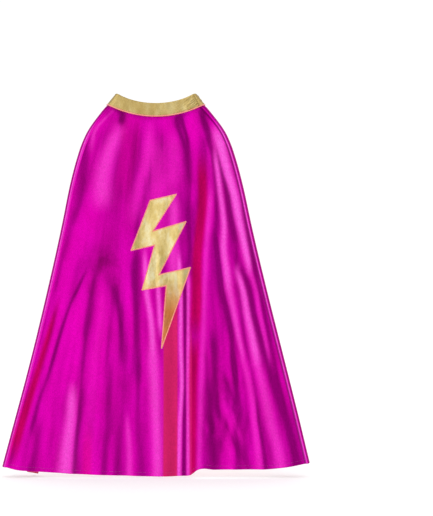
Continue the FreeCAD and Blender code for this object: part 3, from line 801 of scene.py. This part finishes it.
def neck_path(side):
    """Steps from the middle of the back, round the side fold, to the front end: (angle, turn) pairs, where
    angle runs along the arc and turn is from -90 degrees at the back to 90 at the front."""
    back = [(a, -math.pi / 2) for a in np.linspace(0, CORNER, 60)]
    fold = [(CORNER, t) for t in np.linspace(-math.pi / 2, math.pi / 2, 26)[1:]]
    end = math.asin(FRONT_END[side] / ARC)
    near = end + END_SOFT / ARC * np.linspace(1, 0, 5)[1:] ** 1.5
    front = [(a, math.pi / 2) for a in np.linspace(CORNER, end + END_SOFT / ARC, 52)[1:]]
    return np.array(back + fold + front + [(a, math.pi / 2) for a in near])


def neck_ring(side, path, drop, inset):
    """Points along the neck's path, drop below the collar's top edge and inset inside its outer face."""
    angle, turn = path[:, 0], path[:, 1]
    taller = (0.8 + 1.5 * (angle / CORNER) ** 4) * MM * (1 - drop / BAND)  # its top edge, most at the folds
    radius = ARC - BAND + drop - taller
    reach = REACH - 3 * MM + (3 * MM + NECK_REACH) * drop / BAND - inset
    out = np.where(angle >= CORNER - 1e-9, np.maximum(reach, 0.5 * MM) * np.cos(turn), 0)
    x = radius * np.sin(angle) + out * np.cos(CORNER)
    z = ARC - radius * np.cos(angle) + out * np.sin(CORNER)
    return np.stack([side * x, (DEPTH - inset) * np.sin(turn), z], axis=-1)


def collar_creases(side, path, drop):
    """How far the band's cloth stands off its stiffener: soft all round, creased at the right corner."""
    place = np.cumsum(np.append(0, np.linalg.norm(np.diff(neck_ring(side, path, 0, 0), axis=0), axis=1)))
    soft = 0.25 + 0.12 * waves(place, np.full_like(place, drop), 21 + side, 10, 40 * MM, 12 * MM, 1.0)
    corner = bell((path[:, 0] - CORNER) / 0.16) * (side > 0) * (path[:, 1] < 0)
    crease = waves(place, np.full_like(place, drop) * 2.2, 31, 12, 24 * MM, 10 * MM, 0.6)
    flat = smooth(drop / (3 * MM)) * smooth((BAND - drop) / (3 * MM)) * (path[:, 1] < 1)
    return (np.abs(soft) + corner * np.abs(crease) * 0.75) * flat * MM


def make_collar(side):
    """Half the collar: gold cloth up the outside, folded over the top edge and down the inside."""
    path = neck_path(side)
    mid = COLLAR_THICK / 2
    half = mid - COLLAR_CLOTH / 2
    end = (path[:, 0] - path[-1, 0]) * ARC
    closing = np.where(path[:, 1] > 1, np.sqrt(1 - (1 - np.clip(end / END_SOFT, 0.1, 1)) ** 2), 1)
    rows = []
    for drop in np.linspace(BAND, mid, 26):
        rows.append((drop, -half, collar_creases(side, path, drop)))
    for angle in np.linspace(0, math.pi, 9)[1:-1]:
        rows.append((mid - half * math.sin(angle), -half * math.cos(angle), 0))
    for drop in np.linspace(mid, BAND, 20):
        rows.append((drop, half, 0))
    grid = np.array([neck_ring(side, path, drop, mid + off * closing - lift) for drop, off, lift in rows])
    grid = grid[::-1, ::side]
    sheet = Sheet()
    sheet.face(sheet.block(grid, normals_of(grid)))
    return sheet_object(f"collar_{'left' if side < 0 else 'right'}", sheet, COLLAR_CLOTH)


def ring_faces(rings, size, base=0, around=False):
    """Quads between rings of points, with a cap on each end unless the rings go all the way round."""
    faces = []
    for i in range(rings if around else rings - 1):
        here, ahead = base + i * size, base + (i + 1) % rings * size
        faces += [[here + j, ahead + j, ahead + (j + 1) % size, here + (j + 1) % size] for j in range(size)]
    if not around:
        last = base + (rings - 1) * size
        faces += [[base + j for j in range(size)], [last + j for j in reversed(range(size))]]
    return faces


def solid(name, points, faces):
    """A smooth shaded object with all its faces turned outwards."""
    mesh = bpy.data.meshes.new(name)
    mesh.from_pydata(np.array(points).tolist(), [], faces)
    work = bmesh.new()
    work.from_mesh(mesh)
    bmesh.ops.recalc_face_normals(work, faces=work.faces)
    work.to_mesh(mesh)
    work.free()
    mesh.polygons.foreach_set("use_smooth", [True] * len(mesh.polygons))
    return new_object(name, mesh)


PIPING_RADIUS = 1.1 * MM
PIPING_SIDES = 12


def make_piping(side):
    """Half the satin piping that lies in the neck seam."""
    path = neck_path(side)
    centre = neck_ring(side, path, BAND, (np.cos(path[:, 1]) - 1.2) * MM)
    outer = unit(centre - neck_ring(side, path, BAND, 1 * MM))
    along_path = unit(np.gradient(centre, axis=0))
    taper = np.sqrt(np.clip((path[:, 0] - path[-1, 0]) * ARC / END_SOFT, 0.06, 1))
    radius = PIPING_RADIUS * np.where(path[:, 1] > 1, taper, 1)[:, None, None]
    turn = np.linspace(0, 2 * math.pi, PIPING_SIDES, endpoint=False)[None, :, None]
    across = np.cross(along_path, outer)
    points = centre[:, None] + radius * (across[:, None] * np.cos(turn) + outer[:, None] * np.sin(turn))
    name = f"piping_{'left' if side < 0 else 'right'}"
    return solid(name, points.reshape(-1, 3), ring_faces(len(centre), PIPING_SIDES))


def neck_pieces():
    """The collar and the piping, in the same two halves as the cape."""
    for side, word, body in HALVES:
        collar = dress(make_collar(side), GOLD)
        nodes = [f"collar_{part}_{place}" for part in ("outer", "facing") for place in ("back", word)]
        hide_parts(*nodes, f"collar_fold_{word}")
        piping = dress(make_piping(side), PIPING)
        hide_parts("piping_back", f"piping_{word}")
        for piece in (collar, piping):
            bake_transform(piece)


neck_pieces()

# ---------------------------------------------------------------- flat cloth shapes: bolt, tab, tapes, label
# The bolt's corners, (x, z) in mm, anticlockwise from its top right one.
BOLT = [
    (38, -144), (-10, -155), (-45, -247), (-1.5, -237), (-25, -320), (20, -311.5),
    (11, -427), (64, -278.5), (6, -292), (56, -194), (-5.5, -212),
]


def cut_shape(outline, step):
    """A flat shape as triangles: its points in (x, z), metres, step apart, and its faces."""
    outline = np.array(outline)
    low, high = outline.min(axis=0), outline.max(axis=0)
    xs, zs = np.arange(low[0], high[0], step), np.arange(low[1], high[1], step)
    fill = [(x + (i % 2) * step / 2, z) for i, z in enumerate(zs) for x in xs]
    edge = np.roll(outline, -1, axis=0) - outline
    kept = []
    for point in fill:
        away = point - outline
        share = np.clip((away * edge).sum(axis=1) / (edge**2).sum(axis=1), 0, 1)
        gap = np.linalg.norm(away - share[:, None] * edge, axis=1).min()
        crossing = (outline[:, 1] > point[1]) != (np.roll(outline[:, 1], -1) > point[1])
        reach = outline[:, 0] + edge[:, 0] * away[:, 1] / np.where(edge[:, 1] == 0, 1, edge[:, 1])
        if gap > step * 0.45 and (crossing & (reach > point[0])).sum() % 2:
            kept.append(point)
    points = [Vector(p) for p in outline.tolist() + [list(p) for p in kept]]
    ring = list(range(len(outline)))
    edges = list(zip(ring, ring[1:] + ring[:1]))
    flat, _, faces, *_ = delaunay_2d_cdt(points, edges, [ring], 1, 1e-6)
    return np.array([tuple(p) for p in flat]), [list(face) for face in faces]


def cut_piece(name, outline, depth, thick, step, front=-1):
    """A closed piece of cloth of that outline. depth gives its middle's y at x, z, and front is the way that
    its outside faces."""
    flat, faces = cut_shape(outline, step)
    x, z = flat[:, 0], flat[:, 1]
    nudge = 0.2 * MM
    slope_x = (depth(x + nudge, z) - depth(x - nudge, z)) / (2 * nudge)
    slope_z = (depth(x, z + nudge) - depth(x, z - nudge)) / (2 * nudge)
    normal = unit(np.stack([-slope_x, np.ones_like(x), -slope_z], axis=-1)) * front
    points = np.stack([x, depth(x, z), z], axis=-1)
    winding = faces if front < 0 else [face[::-1] for face in faces]
    return closed_sheet(name, points, normal, winding, thick)


def resample(corners, step):
    """Points step apart along straight lines round a polygon's corners."""
    corners = [np.array(c, float) for c in corners]
    points = []
    for start, end in zip(corners, corners[1:] + corners[:1]):
        count = max(2, int(round(np.linalg.norm(end - start) / step)))
        points += [start + (end - start) * k / count for k in range(count)]
    return np.array(points)


def grown(corners, by):
    """A polygon's corners moved out by a distance, along the bisectors. Sharp tips are kept within bounds."""
    corners = np.array(corners)
    ahead = unit(np.roll(corners, -1, axis=0) - corners)
    both = ahead + np.roll(ahead, 1, axis=0)
    bisector = np.stack([both[:, 1], -both[:, 0]], axis=-1)
    size = (bisector**2).sum(axis=1, keepdims=True) / 2
    return corners + bisector / np.maximum(size, 0.35) * by


BOLT_CORNERS = [(x * MM, z * MM) for x, z in BOLT]
BORDER = 2.2 * MM


def over_back(lift):
    """Depth of a layer that lies lift outside the back's own surface."""
    return lambda x, z: -DEPTH - relief(x, z) - lift


def bolt_depth(x, z):
    """The gold cloth's middle: it follows the back, with small puckers of its own."""
    pucker = 0.12 * waves(x, z, 44, 16, 26 * MM, 10 * MM, 1.6) * MM
    return over_back(0.75 * MM)(x, z) - np.abs(pucker)


def satin_border():
    """The satin stitch round the bolt: one thread across the edge after another, as a ridged cord."""
    step = 0.42 * MM
    points = resample(BOLT_CORNERS, step)
    ahead = unit(np.roll(points, -1, axis=0) - points)
    outward = np.stack([ahead[:, 1], -ahead[:, 0]], axis=-1)
    for _ in range(4):
        outward = unit(outward + np.roll(outward, 1, axis=0) + np.roll(outward, -1, axis=0))
    profile = [(-1.0, 0.55), (-0.92, 1.15), (-0.5, 1.42), (0, 1.5), (0.5, 1.3), (0.92, 0.7), (1.0, -0.05)]
    ridge = np.where(np.arange(len(points)) % 2, 1.0, 0.9)
    wander = 1 + 0.06 * waves(points[:, 0], points[:, 1], 61, 12, 9 * MM, 2 * MM, 1.0)

    def line(across, lift):
        x, z = (points + outward * (across * BORDER / 2 * wander)[:, None]).T
        return np.stack([x, over_back(lift)(x, z), z], axis=-1)

    rings = [line(across, lift * ridge * MM) for across, lift in profile]
    rings += [line(across, -0.1 * MM) for across in (0.9, -0.9)]
    points = np.array(rings).transpose(1, 0, 2)
    faces = ring_faces(points.shape[0], points.shape[1], around=True)
    return solid("bolt_border", points.reshape(-1, 3), faces)


def bolt_pieces():
    """The bolt: gold cloth on a bonding web, with satin stitch over its edge."""
    inner = grown(BOLT_CORNERS, -0.8 * MM)
    face = dress(cut_piece("bolt_face_cloth", resample(inner, 2 * MM), bolt_depth, 0.5 * MM, 2 * MM),
                 BOLT_GOLD)
    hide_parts("bolt_face")
    web = dress(cut_piece("bolt_web", resample(grown(inner, -1 * MM), 3 * MM), over_back(0.25 * MM),
                          0.2 * MM, 3 * MM), WEB)
    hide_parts("bolt_bond_web")
    for piece in (face, web):
        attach(piece, "root")
    border = dress(satin_border(), PEACH)
    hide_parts("bolt_border_stitching")
    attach(border, "root")


bolt_pieces()


def arc_outline(start, end, near, far, rounded_start=0.0, rounded_end=0.0):
    """The outline of a band round the neck's arc between two x positions, its corners rounded."""
    corners = []
    for x, radius, soft, ahead in ((start, far, rounded_start, 1), (end, far, rounded_end, -1),
                                   (end, near, rounded_end, -1), (start, near, rounded_start, 1)):
        angle = math.asin(x / ARC)
        if soft == 0:
            corners.append((angle, radius))
            continue
        inward = 1 if radius == near else -1
        centre_angle, centre_radius = angle + ahead * soft / ARC, radius + inward * soft
        turns = np.linspace(0, math.pi / 2, 7)
        arc = [(centre_angle - ahead * soft / ARC * math.cos(t), centre_radius - inward * soft * math.sin(t))
               for t in turns]
        backwards = (radius == far) != (ahead == 1)
        corners += arc[::-1] if backwards else arc
    dense = []
    for (a, r), (b, q) in zip(corners, corners[1:] + corners[:1]):
        count = max(1, int(round(math.hypot((b - a) * ARC, q - r) / (1.6 * MM))))
        dense += [(a + (b - a) * k / count, r + (q - r) * k / count) for k in range(count)]
    return [(r * math.sin(a), ARC - r * math.cos(a)) for a, r in dense]


TAB_NEAR, TAB_FAR = ARC - BAND + 0.4 * MM, ARC - 0.4 * MM
TAPE_NEAR, TAPE_FAR = ARC - BAND + 3 * MM, ARC - 3 * MM
TAB_START, TAB_TIP = -0.7 * MM, 45 * MM
ROOT_START, ROOT_END = -18.2 * MM, -3.2 * MM
TAPE_START, TAPE_END = 4 * MM, 42 * MM
TAB_LIFT = DEPTH + 3.8 * MM  # middle of the tab's outer cloth


def level(y):
    return lambda x, z: np.full_like(x, y)


def root_depth(x, z):
    """The tab's sewn root: flat on the collar where it is sewn, rising to the tab's level at its end."""
    rise = smooth((x - ROOT_START - 6 * MM) / (9 * MM))
    return DEPTH + 0.6 * MM + rise * (TAB_LIFT - DEPTH - 0.7 * MM)


POST = ((0, 0.22), (0.6, 0.17), (1, 0.10))  # a hook or loop from foot to tip: (share of its height, mm)
POST_SIDES = 4


def bumps(name, outline, depth, spacing, tall, bend):
    """The hooks or loops of a tape: short bent posts in rows all over its outline, towards y."""
    flat, _ = cut_shape(outline, spacing)
    rng = np.random.default_rng(9)
    points, faces = [], []
    for x, z in flat:
        lean = bend * (rng.random(2) - 0.5)
        faces += ring_faces(len(POST), POST_SIDES, len(points))
        for lift, size in POST:
            for corner in range(POST_SIDES):
                turn = 2 * math.pi / POST_SIDES * corner
                points.append((x + lean[0] * lift**2 + size * MM * math.cos(turn), depth + tall * lift,
                               z + lean[1] * lift**2 + size * MM * math.sin(turn)))
    return solid(name, points, faces)


def closure_pieces():
    """The tab that closes the collar: two cloths and a sewn root, and hook tape that meets loop tape."""
    outer = arc_outline(TAB_START, TAB_TIP, TAB_NEAR, TAB_FAR, 0, 7 * MM)
    inner = arc_outline(TAB_START, TAB_TIP - 0.4 * MM, TAB_NEAR + 0.4 * MM, TAB_FAR - 0.4 * MM, 0, 6.6 * MM)
    root = arc_outline(ROOT_START, ROOT_END, TAB_NEAR, TAB_FAR)
    tape = arc_outline(TAPE_START, TAPE_END, TAPE_NEAR, TAPE_FAR, 1.5 * MM, 1.5 * MM)
    tab_flat = (TAB_TIP - TAB_START + 1 * MM, TAB_FAR - TAB_NEAR)
    tape_flat = (TAPE_END - TAPE_START + 0.5 * MM, TAPE_FAR - TAPE_NEAR)
    root_flat = (ROOT_END - ROOT_START + 3 * MM, TAB_FAR - TAB_NEAR)
    loop_y, hook_y = DEPTH + 0.45 * MM, DEPTH + 2.1 * MM
    rows = (
        ("tab_cloth", outer, level(TAB_LIFT), 0.8, "tab_outer", GOLD, "collar_gold", tab_flat, "closure_tab"),
        ("tab_lining", inner, level(TAB_LIFT - 0.85 * MM), 0.7, "tab_facing", GOLD, "collar_gold", tab_flat,
         "closure_tab"),
        ("tab_root_cloth", root, root_depth, 0.9, "tab_root", GOLD, "collar_gold", root_flat, "left_front"),
        ("loop_base", tape, level(loop_y), 0.5, "loop_tape", LOOPS, "loop_tape", tape_flat, "right_front"),
        ("hook_base", tape, level(hook_y), 0.5, "hook_tape", HOOKS, "hook_tape", tape_flat, "closure_tab"),
    )
    for name, outline, depth, thick, node, material, slot, flat, body in rows:
        piece = dress(cut_piece(name, outline, depth, thick * MM, 1.6 * MM, front=1), material)
        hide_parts(node)
        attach(piece, body)
    loops = dress(bumps("loops", tape, loop_y + 0.2 * MM, 0.9 * MM, 0.5 * MM, 0.9 * MM), LOOPS)
    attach(loops, "right_front")
    hooks = dress(bumps("hooks", tape, hook_y - 0.2 * MM, 1.1 * MM, -0.6 * MM, 0.5 * MM), HOOKS)
    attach(hooks, "closure_tab")


closure_pieces()

LABEL_WIDE, LABEL_LONG = 22 * MM, 34 * MM
LABEL_TOP = -2.2 * MM


def label_depth(x, z):
    """The label hangs inside the lining and curls away from it at its lower end."""
    curl = 2.2 * MM * smooth((-z - 12 * MM) / (24 * MM)) ** 2
    return -DEPTH - relief(x, z) + SHELL + LINING_GAP + LINING + 0.5 * MM + curl


def make_label():
    """The blank label, sewn in under the collar's back."""
    half = LABEL_WIDE / 2
    top, low = LABEL_TOP, LABEL_TOP - LABEL_LONG
    outline = resample([(-half, top), (-half, low), (half, low), (half, top)], 1.5 * MM)
    label = dress(cut_piece("neck_label_cloth", outline, label_depth, 0.4 * MM, 1.5 * MM, 1), COTTON)
    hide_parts("neck_label")
    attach(label, "root")


make_label()


# ---------------------------------------------------------------- thread
# A stitch from end to end: (share of its length, its middle's lift and its width as shares of the thread's).
STITCH = ((0.0, -0.5, 0.45), (0.12, 0.1, 0.85), (0.5, 0.28, 1.0), (0.88, 0.1, 0.85), (1.0, -0.5, 0.45))
STITCH_SIDES = 6


def stitch_ring(line, normal, place, at, lift, radius):
    """A ring of points round a stitch, at a distance along a line of surface points."""
    def value(values, where):
        return np.array([np.interp(where, place, values[:, i]) for i in range(3)])

    centre, out = value(line, at), unit(value(normal, at))
    side = unit(np.cross(unit(value(line, at + MM) - value(line, at - MM)), out))
    turns = [2 * math.pi / STITCH_SIDES * corner for corner in range(STITCH_SIDES)]
    return [centre + out * (lift + radius * math.sin(t)) + side * (radius * math.cos(t)) for t in turns]


def stitches(name, rows, long=2.9 * MM, gap=1.1 * MM, wide=0.38 * MM):
    """Running stitches in one object. Each row of them is a line of surface points and their normals."""
    points, faces = [], []
    for line, normal in rows:
        place = np.append(0, np.cumsum(np.linalg.norm(np.diff(line, axis=0), axis=1)))
        for k in range(int((place[-1] - gap) / (long + gap))):
            start = gap / 2 + k * (long + gap)
            faces += ring_faces(len(STITCH), STITCH_SIDES, len(points))
            for share, lift, size in STITCH:
                points += stitch_ring(line, normal, place, start + share * long, lift * wide, size * wide / 2)
    return solid(name, points, faces)


HEM_STITCH_RISE = 6 * MM  # the hem's stitches are this far above it


def hem_line(first, last):
    """A line on the cape's outside, just above the hem, between two columns of the sheet."""
    row = (1 - HEM_STITCH_RISE / CAPE_LONG) * (ROWS - 1)
    low = int(row)
    part = row - low
    line = FULL[low, first:last] * (1 - part) + FULL[low + 1, first:last] * part
    return line, FULL_NORMAL[low, first:last]


def edge_line(side):
    """A line down a front, just inside its edge."""
    column = 3 if side < 0 else FULL.shape[1] - 4
    return FULL[6:-5, column], FULL_NORMAL[6:-5, column]


def collar_line(side, drop):
    """A line round the collar's outside, drop below its top edge."""
    path = neck_path(side)[:-5]
    line = neck_ring(side, path, drop, -collar_creases(side, path, drop))
    return line, unit(neck_ring(side, path, drop, 0) - neck_ring(side, path, drop, 2 * MM))


def tab_line(start, end, radius, depth):
    """A line round the neck's arc between two x positions, on a face that looks towards +Y."""
    angles = np.linspace(math.asin(start / ARC), math.asin(end / ARC), 60)
    x, z = radius * np.sin(angles), ARC - radius * np.cos(angles)
    line = np.stack([x, depth(x, z), z], axis=-1)
    return line, np.broadcast_to(np.array([0.0, 1.0, 0.0]), line.shape)


FINE = {"long": 2.4 * MM, "gap": 0.9 * MM}  # shorter stitches, on the collar and its tab
COLLAR_ROWS = (2.2 * MM, BAND - 2.6 * MM)
TAB_ROWS = (TAB_NEAR + 1.6 * MM, TAB_FAR - 1.6 * MM)


def cape_threads():
    """Stitches along the hem, down the front edges and round the collar."""
    for side, word, body in HALVES:
        hem = stitches(f"hem_stitches_{word}", [hem_line(*SIDES[word])])
        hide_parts("hem_stitching_back", f"hem_stitching_{word}")
        edge = stitches(f"edge_stitches_{word}", [edge_line(side)])
        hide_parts(f"front_edge_stitching_{word}")
        rows = [collar_line(side, drop) for drop in COLLAR_ROWS]
        collar = stitches(f"collar_stitches_{word}", rows, **FINE, wide=0.4 * MM)
        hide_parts("collar_stitching_back", f"collar_stitching_{word}")
        dress(hem, PINK_THREAD)
        dress(edge, PINK_THREAD)
        dress(collar, GOLD_THREAD)
        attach(edge, body)
        for piece in (hem, collar):
            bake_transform(piece)


def tab_threads():
    """Stitches along both edges of the tab and of its root."""
    def above_root(x, z):
        return root_depth(x, z) + 0.45 * MM

    rows = [tab_line(0.4 * MM, 38 * MM, radius, level(TAB_LIFT + 0.4 * MM)) for radius in TAB_ROWS]
    tab = stitches("tab_stitches", rows, **FINE)
    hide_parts("tab_stitching")
    rows = [tab_line(-17.4 * MM, -4 * MM, radius, above_root) for radius in TAB_ROWS]
    root = stitches("tab_root_stitches", rows, **FINE)
    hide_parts("tab_root_stitching")
    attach(dress(tab, GOLD_THREAD), "closure_tab")
    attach(dress(root, GOLD_THREAD), "left_front")


cape_threads()
tab_threads()

# ---------------------------------------------------------------- the room, the light and the camera
VIEW_HEIGHT = 0.949
VIEW_CENTRE = (0.112, -DEPTH, -0.261)
VIEW_DISTANCE = 3.0
SENSOR = 36.0


def make_camera():
    """A camera straight behind the cape, with the cape left of the picture's middle."""
    data = bpy.data.cameras.new("camera")
    data.sensor_width = SENSOR
    data.lens = SENSOR * VIEW_DISTANCE / VIEW_HEIGHT
    camera = bpy.data.objects.new("camera", data)
    camera.location = Vector(VIEW_CENTRE) - Vector((0, VIEW_DISTANCE, 0))
    camera.rotation_euler = (math.radians(90), 0, 0)
    bpy.context.scene.collection.objects.link(camera)
    bpy.context.scene.camera = camera


FLOOR_HALF = 6.0


def make_floor():
    """A plain pale floor just below the hem, which the foil doesn't reflect."""
    mesh = bpy.data.meshes.new("floor")
    low = HEM_LOW - 1 * MM
    corners = [(x * FLOOR_HALF, y * FLOOR_HALF, low) for x, y in ((-1, -1), (1, -1), (1, 1), (-1, 1))]
    mesh.from_pydata(corners, [], [(0, 1, 2, 3)])
    floor = new_object("floor", mesh)
    m = material_nodes("pale_floor")
    tone = m.ramp(m.noise(3, 2), (0.3, rgb(196, 196, 196)), (0.7, rgb(202, 202, 202)))
    m.finish(Base_Color=tone, Roughness=0.8, Specular_IOR_Level=0.0, Emission_Color=(1, 1, 1, 1),
             Emission_Strength=0.5)
    floor.data.materials.append(m.owner)
    floor.visible_glossy = False


# What the foil reflects round the cape: brightness by degrees from straight behind the camera, left positive.
REFLECTED = [
    (-180, 1.0), (-150, 0.55), (-130, 0.5), (-106, 0.55), (-96, 1.25), (-70, 1.25), (-60, 0.65), (-50, 0.55),
    (-34, 0.33), (-20, 0.33), (-9, 0.56), (0, 0.86), (10, 1.03), (22, 1.18), (46, 1.15), (56, 0.65),
    (62, 0.65), (70, 1.25), (96, 1.25), (106, 0.55), (130, 0.5), (150, 0.55), (180, 1.0),
]
DIFFUSE_LIGHT = 1.16  # what lights matt surfaces, and what the camera sees behind the cape
SEEN_WHITE = 1.05
WHITE = (1, 1, 1, 1)


def background(world, colour, strength):
    """A background of that colour, or of the colour that an output gives."""
    return world.add("ShaderNodeBackground", {"Color": colour, "Strength": strength}).outputs[0]


def reflected(world):
    """The room as the foil reflects it: a soft box on the left, a dark gap on the right and a soft box
    beyond it."""
    split = world.add("ShaderNodeSeparateXYZ", {0: world.coordinates["Generated"]}).outputs
    left = world.maths("MULTIPLY", split["X"], -1.0)
    towards = world.maths("MULTIPLY", split["Y"], -1.0)
    turn = world.maths("DIVIDE", world.maths("ARCTAN2", left, towards), 2 * math.pi)
    stops = [(0.5 + degrees / 360, tone) for degrees, tone in REFLECTED]
    return background(world, world.ramp(world.maths("ADD", turn, 0.5), *stops), 1.0)


def chosen(world, share, first, second):
    """The second background for rays whose share is 1, and the first for the rest."""
    return world.add("ShaderNodeMixShader", {0: share, 1: first, 2: second}).outputs[0]


def make_light():
    """A white room: plain white to the camera and to matt surfaces, and uneven where the foil reflects it."""
    world = Nodes(bpy.data.worlds.new("studio"))
    bpy.context.scene.world = world.owner
    world.tree.nodes.remove(world.tree.nodes["Background"])
    path = world.add("ShaderNodeLightPath").outputs
    lit = chosen(world, path["Is Diffuse Ray"], reflected(world), background(world, WHITE, DIFFUSE_LIGHT))
    seen = chosen(world, path["Is Camera Ray"], lit, background(world, WHITE, SEEN_WHITE))
    world.put(world.tree.nodes["World Output"].inputs["Surface"], seen)


make_camera()
make_floor()
make_light()
bpy.context.scene.view_settings.view_transform = "Standard"
